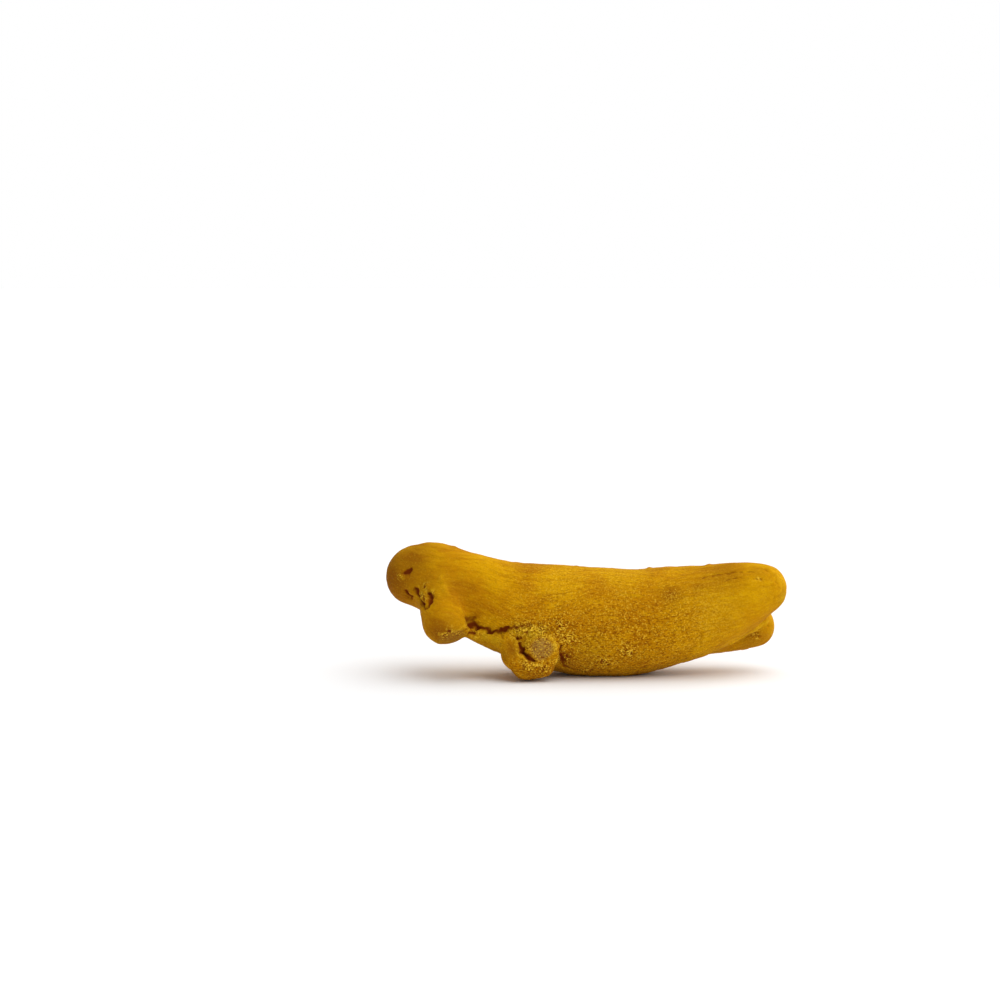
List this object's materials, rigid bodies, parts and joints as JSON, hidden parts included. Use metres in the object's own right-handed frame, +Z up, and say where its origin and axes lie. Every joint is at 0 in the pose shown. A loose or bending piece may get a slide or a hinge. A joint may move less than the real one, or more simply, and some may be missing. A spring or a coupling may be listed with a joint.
{
  "type": "turmeric root",
  "caption": "Stout curved turmeric finger with a blunt knobbly head, side buds and a rounded tip, lying on its belly.",
  "frame": {"origin": "middle of the underside of the root's box, on the surface that the root lies on", "axes": "+X along the finger from the blunt head to the growing tip, +Z up, -Y towards the side with the two buds"},
  "size_m": [0.0748, 0.0236, 0.0245],
  "materials": {
    "root_skin": "matt powdery ochre rind with brown specks, brown creases and grey-brown scars"
  },
  "bodies": {
    "root": {"turmeric_root": "root_skin"}
  },
  "joints": []
}
